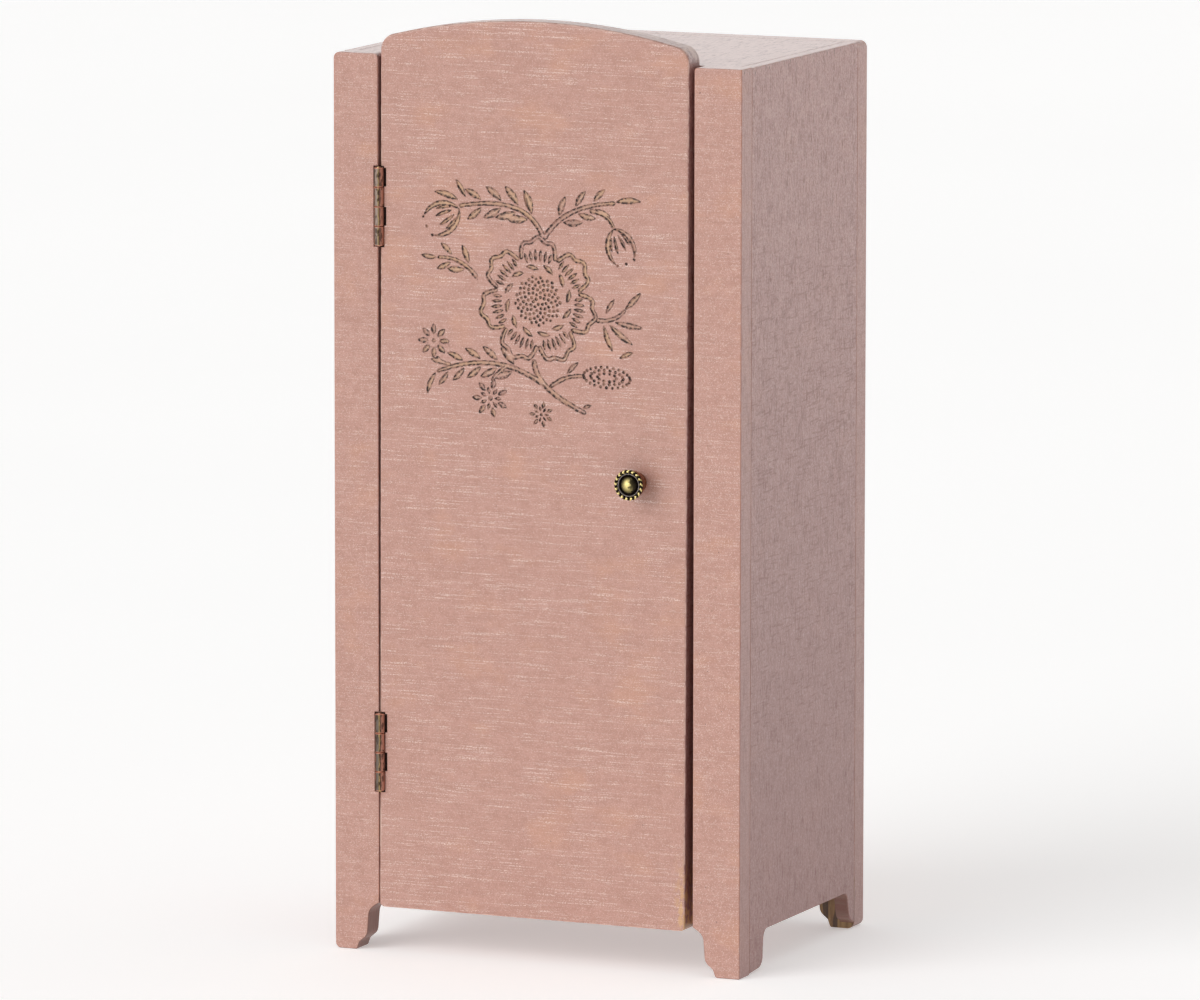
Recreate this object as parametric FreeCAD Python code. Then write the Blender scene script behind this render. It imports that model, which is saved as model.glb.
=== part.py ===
import FreeCAD, Part
import math
import os

# Miniature wardrobe, a doll's house piece made of painted boards.
# A case of thin sides between two front stiles and a full-width back stands on ogee feet.
# One arched door hangs on two butt hinges in the left-hand gap and carries a cast knob.
# Millimetres. +Z is up, the front faces -Y, and the door hangs on the -X side.
# The origin is on the floor, at the middle of the whole outline, knob included.

# ---- driving dimensions ----
WIDTH = 100.0
DEPTH = 75.0                # front of the stiles to the back of the back panel
CASE_TOP = 205.6            # top face of the case above the floor
BOARD = 6.0                 # stiles, door, back, top and bottom
SIDE_BOARD = 3.2            # the two thin sides
EDGE_ROUND = 0.45           # sanded arris of a painted board
STILE_ROUND = 0.3           # front arrises of the stiles, sanded less
SOFT_ROUND = 0.5            # the door's front arris, sanded more

LEFT_STILE_WIDTH = 11.0
RIGHT_STILE_WIDTH = 11.5
LEFT_STILE_CORNERS = (1.0, 1.4, 1.3)    # rounding at the inner top, outer top and outer foot
RIGHT_STILE_CORNERS = (0.8, 0.35, 0.4)
STILE_PROUD = 0.15          # the stiles end this far above the top panel

FOOT_RISE = 11.2            # where the ogee leaves a stile's inner edge; the back's lower edge
FOOT_OGEE = ((2.5, 9.6, 2.8), (3.0, 3.4, 2.4), (4.95, 1.8, 0.6), (5.6, 0.0, 0.6))
                            # its corners: in from the edge above, height, rounding
SIDE_RISE = 9.05            # lower edge of a side panel, between its feet
SIDE_FEET = ((6.0, 0.25, 0), (13.9, 0.8, 2.6), (14.6, SIDE_RISE, 2.4),
             (64.3, SIDE_RISE, 1.8), (65.9, 3.0, 2.5), (69.0, 1.4, 0))
                            # corners behind the front, height, rounding
BACK_ROUND = 0.5            # rear arris, sanded a little more
BACK_CORNER = 1.7           # outer corners of the back, at its feet and top
JOINT_GROOVE = 0.13         # radius of the fine groove left along a glued joint
BOTTOM_PANEL_Z = 10.6       # underside of the bottom panel

DOOR_WIDTH = 75.5
DOOR_BOTTOM = 10.3
DOOR_APEX = 214.6
ARCH_RADIUS = 145.0
ARCH_CORNER = 3.8
DOOR_FOOT_CORNER = 1.2
DOOR_LEAN = 0.2             # degrees: the free edge hangs a little low
DOOR_STOP_GAP = 0.3         # air between the shut door and the top and bottom panels

HINGE_X = -38.6
HINGE_PROUD = 0.3           # hinge axis in front of the door's face
HINGE_LENGTH = 17.8
HINGE_HEIGHTS = {"lower": 46.1, "upper": 171.1}
BARREL_R = 1.12
HINGE_PIN_R = 0.5
RUNNING_GAP = 0.05          # radial, pin in the door's knuckles
KNUCKLES = 4
KNUCKLE_GAP = 0.16
LEAF = 0.5                  # leaf thickness
LEAF_AIR = 0.3              # between the two leaves when shut
LEAF_REACH = 5.2            # leaf width, from the door's face inwards
LEAF_HALF_HEIGHT = HINGE_LENGTH / 2
STILE_POCKET = 1.5          # half width of the pocket round a barrel, in the stile
DOOR_POCKET = 1.2           # the same in the door, beside its own knuckles
KNUCKLE_POCKET = 1.7        # and where it clears the case's knuckles
POCKET_DEPTH = 1.05         # of that pocket, from the door's face
POCKET_AIR = 0.35           # past the ends and the inner edge of a leaf
PIN_OVERHANG = 0.15         # pin past each end of the barrel
METAL_EASE = 0.2            # rounding of the small turned ends
NAIL_R = 0.4
NAIL_HEAD_R = 0.8
NAIL_HEAD = 0.35
NAIL_LENGTH = 6.0
NAIL_SPACING = 9.0
NAIL_DEPTH = 3.3            # nails sit this far behind the door's face

KNOB_X = 24.9
KNOB_Z = 111.7
KNOB_PROJECTION = 5.8
KNOB_R = 3.58
KNOB_SCREW_R = 0.8
KNOB_SCREW_HEAD_R = 1.7
KNOB_SCREW_HEAD = 1.1
KNOB_SCREW_REACH = 3.2      # thread inside the knob

RAIL_R = 2.0
RAIL_Z = 186.0
RAIL_SOCKET = 1.6           # depth of the blind socket in each side

CATCH_R = 2.0
CATCH_X = 28.0
MAGNET_LENGTH = 2.5
CATCH_PLATE_LENGTH = 1.5

BRAD_R = 0.45
BRAD_HEAD_R = 0.8
BRAD_HEAD = 0.4
BRAD_SET = 0.8              # heads are set below the surface and filled over
SIDE_BRAD_LENGTH = 11.0
BACK_BRAD_LENGTH = 14.0
STILE_BRAD_LENGTH = 12.0
BRAD_END_MARGIN = 9.0       # first brad from the end of a board
BACK_BRAD_SPACING = 30.0
STILE_BRAD_X = 43.2

# ---- levels that follow from them ----
FRONT = -(DEPTH - KNOB_PROJECTION) / 2
BACK = FRONT + DEPTH
STILE_BACK = FRONT + BOARD
BACK_FRONT = BACK - BOARD
SIDE_IN = WIDTH / 2 - SIDE_BOARD
LEFT_STILE_IN = -WIDTH / 2 + LEFT_STILE_WIDTH
RIGHT_STILE_IN = WIDTH / 2 - RIGHT_STILE_WIDTH
STILE_TOP = CASE_TOP + STILE_PROUD
PANEL_FRONT = STILE_BACK + DOOR_STOP_GAP
MIDDLE_Y = (FRONT + BACK) / 2
HINGE_Y = FRONT - HINGE_PROUD
DOOR_MIDDLE_Z = (DOOR_BOTTOM + CASE_TOP) / 2
PANEL_LEVELS = (BOTTOM_PANEL_Z + BOARD / 2, CASE_TOP - BOARD / 2)

X_AXIS = FreeCAD.Vector(1, 0, 0)
Y_AXIS = FreeCAD.Vector(0, 1, 0)
Z_AXIS = FreeCAD.Vector(0, 0, 1)


# ---- helpers ----
def block(x_span, y_span, z_span):
    """A box between two limits on each axis."""
    size = [high - low for low, high in (x_span, y_span, z_span)]
    return Part.makeBox(*size, FreeCAD.Vector(x_span[0], y_span[0], z_span[0]))


def rod(radius, length, start, direction):
    """A round bar from a start point."""
    return Part.makeCylinder(radius, length, start, direction)


def flat(corners, place):
    """A flat face from its corners, each (across, up, radius of its rounding)."""
    edges = []
    count = len(corners)
    points = [place(across, up) for across, up, radius in corners]
    starts = []
    ends = []
    for index, (across, up, radius) in enumerate(corners):
        corner = points[index]
        back = (points[index - 1] - corner).normalize()
        ahead = (points[(index + 1) % count] - corner).normalize()
        half_angle = back.getAngle(ahead) / 2
        run = radius / math.tan(half_angle)
        starts.append(corner + back * run)
        ends.append(corner + ahead * run)
        if radius > 0:
            middle = (back + ahead).normalize()
            nearest = radius / math.sin(half_angle) - radius
            edges.append(Part.Arc(starts[index], corner + middle * nearest, ends[index]).toShape())
    for index in range(count):
        edges.append(Part.makeLine(ends[index - 1], starts[index]))
    return Part.Face(Part.Wire(Part.__sortEdges__(edges)))


def front_place(level):
    """Outline points (x, z) on an upright plane that faces front."""
    return lambda x, z: FreeCAD.Vector(x, level, z)


def side_place(level):
    """Outline points (depth behind the front, z) on an upright plane that faces sideways."""
    return lambda depth, z: FreeCAD.Vector(level, FRONT + depth, z)


def eased(solid, radius, wanted):
    """Round the edges that the test picks out."""
    edges = [edge for edge in solid.Edges if wanted(edge)]
    return solid.makeFillet(radius, edges)


def lies_at(edge, axis, level):
    """True when a whole edge lies on the plane axis = level."""
    box = edge.BoundBox
    low, high = {"x": (box.XMin, box.XMax), "y": (box.YMin, box.YMax), "z": (box.ZMin, box.ZMax)}[axis]
    return abs(low - level) < 1e-4 and abs(high - level) < 1e-4


def is_round(edge):
    """True for a circular edge."""
    return edge.Curve.TypeId == "Part::GeomCircle"


def save(name, shape):
    """Write one sub-part."""
    if not shape.isValid():
        raise ValueError(name + " is not a valid shape")
    shape.exportStep("parts/" + name + ".step")


# ---- the case ----
def ogee_foot(inner, sign):
    """Corners down the inner side of a foot; inner is the edge above it, sign points to its outside."""
    return [(inner + sign * across, up, radius) for across, up, radius in FOOT_OGEE]


def make_stile(inner, outer, roundings):
    """A front upright with an ogee cut on the inner side of its foot."""
    inner_top, outer_top, outer_foot = roundings
    sign = math.copysign(1, outer)
    corners = [(inner, STILE_TOP, inner_top), (inner, FOOT_RISE, 0)] + ogee_foot(inner, sign)
    corners += [(outer, 0, outer_foot), (outer, STILE_TOP, outer_top)]
    stile = flat(corners, front_place(FRONT)).extrude(Y_AXIS * BOARD)
    return eased(stile, STILE_ROUND, lambda edge: lies_at(edge, "y", FRONT))


def make_back_panel():
    """The full-width back, with a foot at each side."""
    half = WIDTH / 2
    inner = RIGHT_STILE_IN
    right_foot = [(inner, FOOT_RISE, 0)] + ogee_foot(inner, 1)
    left_foot = [(-across, up, radius) for across, up, radius in reversed(right_foot)]
    corners = right_foot + [(half, 0, BACK_CORNER), (half, CASE_TOP, BACK_CORNER)]
    corners += [(-half, CASE_TOP, BACK_CORNER), (-half, 0, BACK_CORNER)] + left_foot
    panel = flat(corners, front_place(BACK_FRONT)).extrude(Y_AXIS * BOARD)
    return eased(panel, BACK_ROUND, lambda edge: lies_at(edge, "y", BACK))


def make_side_panel(inner, outer):
    """A thin side, cut up between an ogee front foot and a narrower rear foot."""
    corners = [(BOARD, CASE_TOP, 0)] + list(SIDE_FEET) + [(DEPTH - BOARD, CASE_TOP, 0)]
    low = min(inner, outer)
    panel = flat(corners, side_place(low)).extrude(X_AXIS * SIDE_BOARD)
    return eased(panel, EDGE_ROUND, lambda edge: lies_at(edge, "x", outer) and shows(edge))


def shows(edge):
    """True for an arris that isn't part of an upright glued joint."""
    return edge.BoundBox.ZLength < CASE_TOP / 2


def make_level_panel(underside):
    """The top or bottom board, which fits between the sides."""
    return block((-SIDE_IN, SIDE_IN), (PANEL_FRONT, BACK_FRONT), (underside, underside + BOARD))


def joint_grooves():
    """Round bars along the glued joints that show, cut out of the boards on both sides."""
    upright = [rod(JOINT_GROOVE, CASE_TOP, FreeCAD.Vector(x, y, 0), Z_AXIS)
               for x in (-WIDTH / 2, WIDTH / 2) for y in (STILE_BACK, BACK_FRONT)]
    length = BACK_FRONT - STILE_BACK
    along = [rod(JOINT_GROOVE, length, FreeCAD.Vector(x, STILE_BACK, CASE_TOP), Y_AXIS)
             for x in (-SIDE_IN, SIDE_IN)]
    across = rod(JOINT_GROOVE, WIDTH, FreeCAD.Vector(-WIDTH / 2, BACK_FRONT, CASE_TOP), X_AXIS)
    return upright + along + [across]


def make_rail():
    """The clothes rail, a dowel let into both sides."""
    half = SIDE_IN + RAIL_SOCKET
    start = FreeCAD.Vector(-half, MIDDLE_Y, RAIL_Z)
    return rod(RAIL_R, 2 * half, start, X_AXIS)


# ---- fasteners ----
def brad(head, direction, length):
    """A brad from the middle of its head, along its direction."""
    shank = rod(BRAD_R, length, head, direction)
    return shank.fuse(rod(BRAD_HEAD_R, BRAD_HEAD, head, direction)).removeSplitter()


def side_brads(sign):
    """Brads through one side into the ends of the top and bottom panels."""
    x = sign * (WIDTH / 2 - BRAD_SET)
    depths = (STILE_BACK + BRAD_END_MARGIN, MIDDLE_Y, BACK_FRONT - BRAD_END_MARGIN)
    return [brad(FreeCAD.Vector(x, y, z), X_AXIS * -sign, SIDE_BRAD_LENGTH)
            for z in PANEL_LEVELS for y in depths]


def back_brads():
    """Brads through the back into the rear edges of the top and bottom panels."""
    y = BACK - BRAD_SET
    return [brad(FreeCAD.Vector(x, y, z), Y_AXIS * -1, BACK_BRAD_LENGTH)
            for z in PANEL_LEVELS for x in (-BACK_BRAD_SPACING, 0, BACK_BRAD_SPACING)]


def stile_brads():
    """Brads through the stiles into the front edges of the top and bottom panels."""
    y = FRONT + BRAD_SET
    return [brad(FreeCAD.Vector(x, y, z), Y_AXIS, STILE_BRAD_LENGTH)
            for z in PANEL_LEVELS for x in (-STILE_BRAD_X, STILE_BRAD_X)]


def hinge_nail(height, side):
    """A countersunk nail through a leaf; side is -1 into the stile and +1 into the door."""
    face = HINGE_X + side * LEAF_AIR / 2
    head = FreeCAD.Vector(face, FRONT + NAIL_DEPTH, height)
    direction = X_AXIS * side
    cone = Part.makeCone(NAIL_HEAD_R, NAIL_R, NAIL_HEAD, head, direction)
    return cone.fuse(rod(NAIL_R, NAIL_LENGTH, head, direction)).removeSplitter()


def hinge_nails(side):
    """The four nails on one side of the door's gap."""
    return [hinge_nail(middle + offset, side)
            for middle in HINGE_HEIGHTS.values()
            for offset in (-NAIL_SPACING / 2, NAIL_SPACING / 2)]


# ---- the hinges ----
def knuckle_spans(middle, side):
    """Heights of one leaf's knuckles: the case has the first and third from the top."""
    pitch = HINGE_LENGTH / KNUCKLES
    top = middle + HINGE_LENGTH / 2
    first = 0 if side < 0 else 1
    spans = []
    for index in range(first, KNUCKLES, 2):
        high = top - index * pitch
        spans.append((high - pitch + KNUCKLE_GAP / 2, high - KNUCKLE_GAP / 2))
    return spans


def axis_rod(radius, span):
    """A round bar on the hinge axis between two heights."""
    return rod(radius, span[1] - span[0], FreeCAD.Vector(HINGE_X, HINGE_Y, span[0]), Z_AXIS)


def make_leaf(middle, side):
    """One hinge leaf with its knuckles, as it lies when the door is shut."""
    near = HINGE_X + side * LEAF_AIR / 2
    far = near + side * LEAF
    heights = (middle - LEAF_HALF_HEIGHT, middle + LEAF_HALF_HEIGHT)
    leaf = block(sorted((near, far)), (HINGE_Y, FRONT + LEAF_REACH), heights)
    for low, high in knuckle_spans(middle, -side):
        leaf = leaf.cut(axis_rod(BARREL_R + KNUCKLE_GAP, (low - KNUCKLE_GAP, high + KNUCKLE_GAP)))
    bore = HINGE_PIN_R if side < 0 else HINGE_PIN_R + RUNNING_GAP
    for span in knuckle_spans(middle, side):
        leaf = leaf.fuse(eased(axis_rod(BARREL_R, span), METAL_EASE, is_round))
    leaf = leaf.cut(axis_rod(bore, heights)).removeSplitter()
    for offset in (-NAIL_SPACING / 2, NAIL_SPACING / 2):
        leaf = leaf.cut(hinge_nail(middle + offset, side))
    return leaf


def make_hinge_pin(middle):
    """The pin, a little longer than the barrel, with eased ends."""
    half = HINGE_LENGTH / 2 + PIN_OVERHANG
    return eased(axis_rod(HINGE_PIN_R, (middle - half, middle + half)), METAL_EASE, is_round)


def hinge_pocket(middle, side):
    """What is cut out of the stile or the door for one hinge."""
    air = POCKET_AIR
    heights = (middle - LEAF_HALF_HEIGHT - air, middle + LEAF_HALF_HEIGHT + air)
    seat = HINGE_X + side * (LEAF_AIR / 2 + LEAF)
    reach = HINGE_X + side * (DOOR_POCKET if side > 0 else STILE_POCKET)
    past = HINGE_X - side * STILE_POCKET
    barrel = block(sorted((reach, past)), (FRONT - 1.0, FRONT + POCKET_DEPTH), heights)
    leaf = block(sorted((seat, past)), (FRONT - 1.0, FRONT + LEAF_REACH + air), heights)
    pocket = barrel.fuse(leaf)
    if side > 0:
        wide = (HINGE_X, HINGE_X + KNUCKLE_POCKET)
        deep = (FRONT - 1.0, FRONT + POCKET_DEPTH)
        for span in knuckle_spans(middle, -side):
            pocket = pocket.fuse(block(wide, deep, span))
    return pocket


# ---- the door ----
def ends_the_arch(edge):
    """True for the two edges through the board where the arch meets its sides."""
    return edge.BoundBox.YLength > 1 and edge.BoundBox.ZMin > CASE_TOP


def make_door_panel():
    """The arched door, which leans a little."""
    right = HINGE_X + DOOR_WIDTH
    corners = [(HINGE_X, DOOR_APEX, 0), (HINGE_X, DOOR_BOTTOM, DOOR_FOOT_CORNER),
               (right, DOOR_BOTTOM, DOOR_FOOT_CORNER), (right, DOOR_APEX, 0)]
    panel = flat(corners, front_place(FRONT)).extrude(Y_AXIS * BOARD)
    arch_centre = FreeCAD.Vector((HINGE_X + right) / 2, FRONT, DOOR_APEX - ARCH_RADIUS)
    panel = panel.common(rod(ARCH_RADIUS, BOARD, arch_centre, Y_AXIS))
    panel = eased(panel, ARCH_CORNER, ends_the_arch)
    panel = eased(panel, SOFT_ROUND, lambda edge: lies_at(edge, "y", FRONT))
    panel.rotate(FreeCAD.Vector(HINGE_X, FRONT, DOOR_MIDDLE_Z), Y_AXIS, DOOR_LEAN)
    return panel


def make_knob():
    """The cast knob: flange, waist, bell-shaped body, rim, dished face and domed centre."""
    corners = [(0, 0, 0), (2.3, 0, 0), (2.3, 0.7, 0.2), (1.7, 1.2, 0.5), (1.9, 2.4, 0.6), (3.1, 2.7, 0.5),
               (KNOB_R, 4.4, 0.5), (KNOB_R, 5.5, 0.45), (2.75, 5.5, 0.3), (2.6, 4.9, 0), (2.5, 5.1, 0),
               (2.2, 5.1, 0), (2.05, 4.6, 0), (1.5, KNOB_PROJECTION, 1.5), (0, KNOB_PROJECTION, 0)]
    face = flat(corners, lambda radius, out: FreeCAD.Vector(KNOB_X + radius, FRONT - out, KNOB_Z))
    knob = face.revolve(FreeCAD.Vector(KNOB_X, FRONT, KNOB_Z), Y_AXIS, 360)
    return knob.cut(knob_bar(KNOB_SCREW_R, FRONT - KNOB_SCREW_REACH, FRONT))


def knob_bar(radius, low, high):
    """A round bar on the knob's axis between two y levels."""
    return rod(radius, high - low, FreeCAD.Vector(KNOB_X, low, KNOB_Z), Y_AXIS)


def make_knob_screw():
    """The screw that holds the knob, with a slotted round head inside the door."""
    inside = FRONT + BOARD
    top = inside + KNOB_SCREW_HEAD
    head = eased(knob_bar(KNOB_SCREW_HEAD_R, inside, top), 0.6, lambda edge: lies_at(edge, "y", top))
    slot = block((KNOB_X - KNOB_SCREW_HEAD_R, KNOB_X + KNOB_SCREW_HEAD_R), (top - 0.5, top + 0.1),
                 (KNOB_Z - 0.22, KNOB_Z + 0.22))
    shank = knob_bar(KNOB_SCREW_R, FRONT - KNOB_SCREW_REACH, inside)
    return head.cut(slot).fuse(shank).removeSplitter()


def catch_disc(low, high):
    """A round magnet or steel disc of the catch, between two y levels."""
    return rod(CATCH_R, high - low, FreeCAD.Vector(CATCH_X, low, PANEL_LEVELS[1]), Y_AXIS)


# ---- assembly ----
os.makedirs("parts", exist_ok=True)

rail = make_rail()
magnet = catch_disc(PANEL_FRONT, PANEL_FRONT + MAGNET_LENGTH)
catch_plate = catch_disc(FRONT + BOARD - CATCH_PLATE_LENGTH, FRONT + BOARD)
knob_screw = make_knob_screw()
knob_hole = knob_bar(KNOB_SCREW_R, FRONT - 1.0, FRONT + BOARD + 1.0)
brads = {"side_brads": side_brads(-1) + side_brads(1),
         "back_brads": back_brads(),
         "stile_brads": stile_brads()}
all_brads = [solid for group in brads.values() for solid in group]
case_nails = hinge_nails(-1)
door_nails = hinge_nails(1)

boards = {"left_side_panel": make_side_panel(-SIDE_IN, -WIDTH / 2).cut(rail),
          "right_side_panel": make_side_panel(SIDE_IN, WIDTH / 2).cut(rail),
          "top_panel": make_level_panel(CASE_TOP - BOARD).cut(magnet),
          "bottom_panel": make_level_panel(BOTTOM_PANEL_Z),
          "back_panel": make_back_panel(),
          "left_stile": make_stile(LEFT_STILE_IN, -WIDTH / 2, LEFT_STILE_CORNERS).cut(case_nails),
          "right_stile": make_stile(RIGHT_STILE_IN, WIDTH / 2, RIGHT_STILE_CORNERS)}
for name, shape in boards.items():
    boards[name] = shape.cut(all_brads + joint_grooves())

door_panel = make_door_panel().cut([knob_hole, catch_plate] + door_nails)
for name, middle in HINGE_HEIGHTS.items():
    boards["left_stile"] = boards["left_stile"].cut(hinge_pocket(middle, -1))
    door_panel = door_panel.cut(hinge_pocket(middle, 1))
    save(name + "_hinge_case_leaf", make_leaf(middle, -1))
    save(name + "_hinge_door_leaf", make_leaf(middle, 1))
    save(name + "_hinge_pin", make_hinge_pin(middle))

for name, shape in boards.items():
    save(name, shape)
for name, solids in brads.items():
    save(name, Part.makeCompound(solids))
save("clothes_rail", rail)
save("catch_magnet", magnet)
save("catch_plate", catch_plate)
save("case_hinge_nails", Part.makeCompound(case_nails))
save("door_hinge_nails", Part.makeCompound(door_nails))
save("door_panel", door_panel)
save("knob", make_knob())
save("knob_screw", knob_screw)
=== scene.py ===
import math

import bmesh
import bpy
import numpy as np
from mathutils import Matrix, Vector, geometry


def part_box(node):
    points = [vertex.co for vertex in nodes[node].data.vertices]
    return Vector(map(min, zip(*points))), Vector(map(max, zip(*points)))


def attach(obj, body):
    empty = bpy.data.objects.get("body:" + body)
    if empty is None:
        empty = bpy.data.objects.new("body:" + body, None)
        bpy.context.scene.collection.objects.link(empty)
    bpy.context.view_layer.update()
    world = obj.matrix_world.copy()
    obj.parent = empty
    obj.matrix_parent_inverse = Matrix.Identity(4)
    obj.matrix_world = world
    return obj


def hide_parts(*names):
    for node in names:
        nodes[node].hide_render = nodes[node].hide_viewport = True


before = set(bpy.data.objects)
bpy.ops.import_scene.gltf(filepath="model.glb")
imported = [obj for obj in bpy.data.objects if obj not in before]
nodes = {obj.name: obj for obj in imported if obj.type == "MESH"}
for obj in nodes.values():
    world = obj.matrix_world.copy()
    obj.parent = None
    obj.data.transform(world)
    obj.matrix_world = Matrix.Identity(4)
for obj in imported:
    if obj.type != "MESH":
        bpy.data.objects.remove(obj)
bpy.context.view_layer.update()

# Looks of the miniature wardrobe: brushed pink paint, antique brass and a carved flower spray.
# Lengths here are millimetres unless a name ends in _m; the frame is in metres.
MM = 0.001
COAT = 0.5
FLOOR_GLOW = 0.36           # lifts the floor to a clean white

# ---- places taken from the frame ----
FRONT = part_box("left_stile")[0].y / MM
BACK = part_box("back_panel")[1].y / MM
CASE_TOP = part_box("back_panel")[1].z / MM
MIDDLE_Y = (FRONT + BACK) / 2
DOOR_LEFT, DOOR_RIGHT = (corner.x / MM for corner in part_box("door_panel"))
DOOR_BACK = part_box("door_panel")[1].y / MM
HINGE_SPANS = [tuple(corner.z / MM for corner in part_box(f"{level}_hinge_pin"))
               for level in ("upper", "lower")]
KNOB_LOW, KNOB_HIGH = (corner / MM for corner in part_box("knob"))
KNOB_AXIS = (KNOB_LOW + KNOB_HIGH) / 2
FOOT_CUT_TOP = 12.6         # the ogee cuts of the feet lie below this height
DOME_RADIUS = 2.1           # of the dome in the knob's dish
RIM_Y = KNOB_LOW.y + 1.3    # the knob's drum lies behind this level

# ---- camera ----
CAMERA_AZIMUTH = 23.307
CAMERA_ELEVATION = 8.188
CAMERA_ROLL = 0.056
CAMERA_DISTANCE = 2425.8
CAMERA_LENS = 318.13
CAMERA_TARGET = (-0.4, MIDDLE_Y, 101.3)

# ---- colours, as seen on a screen, 0 to 255 ----
PINK = (191, 144, 128)
PINK_LIGHT = (202, 155, 142)
PINK_DEEP = (178, 130, 115)
ORANGE_TINT = (208, 152, 122)
SIDE_TONE_AND_SHADE = (184, 141, 137)
SIDE_LOW_SHADE = (130, 78, 72)
TOP_SHEEN_PALE = (230, 199, 192)
DASH_PALE = (238, 213, 203)
DASH_SHADE = (162, 114, 103)
GRAIN_BROWN = (118, 46, 38)
SPECK_DARK = (92, 60, 56)
EDGE_TAN = (190, 126, 96)
EDGE_PALE = (230, 194, 178)
OGEE_BROWN = (134, 101, 90)
GAP_SHADE = (84, 52, 45)
RAW_YELLOW = (214, 168, 112)
GROOVE_PALE = (214, 172, 132)
GROOVE_BROWN = (128, 84, 66)
BURN_AND_SHADE_DARK = (40, 20, 15)
WOOD_LIGHT = (172, 140, 92)
WOOD_DARK = (122, 92, 60)
DRIP_DARK = (52, 40, 32)
RAIL_LIGHT = (222, 186, 140)
RAIL_DARK = (186, 142, 94)
BRASS_BRIGHT = (246, 226, 152)
BRASS_WARM = (188, 148, 126)
BRASS_GREY = (172, 152, 140)
BRASS_DULL = (122, 110, 100)
BRASS_GOLD = (190, 160, 104)
BRASS_BROWN = (64, 48, 40)
COPPER = (206, 138, 112)
COPPER_DEEP = (124, 74, 44)
COPPER_ROSE = (222, 158, 136)
COPPER_PALE = (236, 172, 148)
PATINA = (34, 26, 24)
PATINA_VIOLET = (206, 198, 212)
STEEL_BRIGHT = (196, 196, 194)
STEEL_DARK = (120, 118, 116)
NICKEL_BRIGHT = (206, 202, 194)
NICKEL_DARK = (146, 142, 134)
FLOOR_WHITE = (250, 249, 248)
FLOOR_SHADE = (246, 245, 244)


def colour(screen):
    """A screen colour as the linear value that shaders take."""
    parts = [part / 255 for part in screen]
    linear = [part / 12.92 if part < 0.04045 else ((part + 0.055) / 1.055) ** 2.4 for part in parts]
    return (*linear, 1.0)


# ---- material graphs ----
class Graph:
    """Builds the nodes of one material. A socket is linked, and any other value is set."""

    def __init__(self, name):
        self.material = bpy.data.materials.new(name)
        self.material.use_nodes = True
        self.tree = self.material.node_tree
        self.tree.nodes.clear()
        coordinates = self.tree.nodes.new("ShaderNodeTexCoord")
        self.place = self.vector("MULTIPLY", coordinates.outputs["Object"], (1 / MM,) * 3)
        self.x, self.y, self.z = self.split(self.place)
        self.normal = self.split(coordinates.outputs["Normal"])

    def add(self, kind, output, values, **settings):
        node = self.tree.nodes.new(kind)
        for name, value in settings.items():
            setattr(node, name, value)
        for key, value in values.items():
            if isinstance(value, bpy.types.NodeSocket):
                self.tree.links.new(value, node.inputs[key])
            else:
                node.inputs[key].default_value = value
        return node.outputs[output]

    def vector(self, operation, first, second):
        return self.add("ShaderNodeVectorMath", 0, {0: first, 1: second}, operation=operation)

    def math(self, operation, first, second=0.0, clamp=False):
        return self.add("ShaderNodeMath", 0, {0: first, 1: second}, operation=operation, use_clamp=clamp)

    def split(self, vector):
        node = self.tree.nodes.new("ShaderNodeSeparateXYZ")
        self.tree.links.new(vector, node.inputs[0])
        return tuple(node.outputs)

    def join(self, x, y, z):
        return self.add("ShaderNodeCombineXYZ", 0, {0: x, 1: y, 2: z})

    def step(self, value, low, high):
        """0 at low and 1 at high, with a smooth ramp between them."""
        values = {"Value": value, "From Min": low, "From Max": high}
        return self.add("ShaderNodeMapRange", 0, values, interpolation_type="SMOOTHSTEP")

    def band(self, value, middle, half_width):
        """1 on a thin line where value is middle, and 0 away from it."""
        distance = self.math("ABSOLUTE", self.math("SUBTRACT", value, middle))
        return self.step(distance, half_width, half_width * 0.3)

    def times(self, *factors):
        product = factors[0]
        for factor in factors[1:]:
            product = self.math("MULTIPLY", product, factor)
        return product

    def most(self, *values):
        largest = values[0]
        for value in values[1:]:
            largest = self.math("MAXIMUM", largest, value)
        return largest

    def noise(self, vector, stretch, detail=2.0, shift=0.0):
        """Noise whose cells are 1/stretch millimetres along each axis."""
        scaled = self.vector("MULTIPLY", vector, stretch)
        moved = self.vector("ADD", scaled, (shift, shift * 0.7, shift * 1.3))
        return self.add("ShaderNodeTexNoise", 0, {"Vector": moved, "Scale": 1.0, "Detail": detail})

    def blend(self, factor, first, second):
        """A mix of two colours, each a screen colour or a socket."""
        pair = [item if isinstance(item, bpy.types.NodeSocket) else colour(item) for item in (first, second)]
        return self.add("ShaderNodeMix", 2, {0: factor, 6: pair[0], 7: pair[1]}, data_type="RGBA")

    def choose(self, factor, first, second):
        """A mix of two vectors."""
        return self.add("ShaderNodeMix", 1, {0: factor, 4: first, 5: second}, data_type="VECTOR")

    def crevice(self, reach, open_level, closed_level):
        """1 deep in gaps narrower than about reach, 0 on open faces."""
        ambient = self.add("ShaderNodeAmbientOcclusion", 1, {"Distance": reach * MM}, samples=6)
        return self.step(ambient, open_level, closed_level)

    def bump(self, height, depth, strength):
        values = {"Strength": strength, "Distance": depth * MM, "Height": height}
        return self.add("ShaderNodeBump", 0, values)

    def finish(self, base, roughness, normal, **values):
        """Joins the surface shader to the output; values are set on its own sockets."""
        sockets = {"Base Color": base, "Roughness": roughness, "Normal": normal}
        sockets.update({name.replace("_", " "): value for name, value in values.items()})
        shader = self.add("ShaderNodeBsdfPrincipled", 0, sockets)
        output = self.tree.nodes.new("ShaderNodeOutputMaterial")
        self.tree.links.new(shader, output.inputs["Surface"])
        return self.material


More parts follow.
